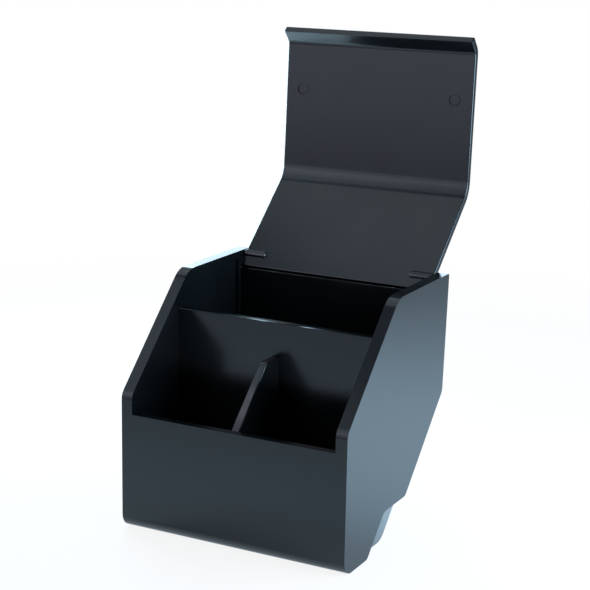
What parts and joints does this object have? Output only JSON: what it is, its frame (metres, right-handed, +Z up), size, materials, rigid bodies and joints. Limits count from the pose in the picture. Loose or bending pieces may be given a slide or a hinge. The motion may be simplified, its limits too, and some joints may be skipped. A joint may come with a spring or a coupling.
{
  "type": "desk organizer with lift lid",
  "caption": "Desk organizer with a tall pencil well, open front bins, a bent lid that swings up and back on pins, and a notched plug-in foot.",
  "frame": {"origin": "middle of the flat base of the foot, half way along the base from the front face to the start of the slanted underside", "axes": "+X to the right seen from the front, along the hinge line; +Y from the front face to the hinge; +Z up"},
  "size_m": [0.088, 0.1139, 0.1712],
  "materials": {
    "shell_plastic": "satin",
    "lid_plastic": "satin",
    "pin_steel": "ground"
  },
  "bodies": {
    "organizer": {"body_shell": "shell_plastic", "cross_partition": "shell_plastic", "front_divider": "shell_plastic"},
    "lid": {"lid_panel": "lid_plastic", "hinge_pin_left": "pin_steel", "hinge_pin_right": "pin_steel"}
  },
  "joints": [
    {"name": "lid_hinge", "type": "hinge", "parent": "organizer", "child": "lid", "pos_m": [0, 0.0613, 0.0862], "axis": [1, 0, 0], "range_deg": [0, 138]}
  ]
}
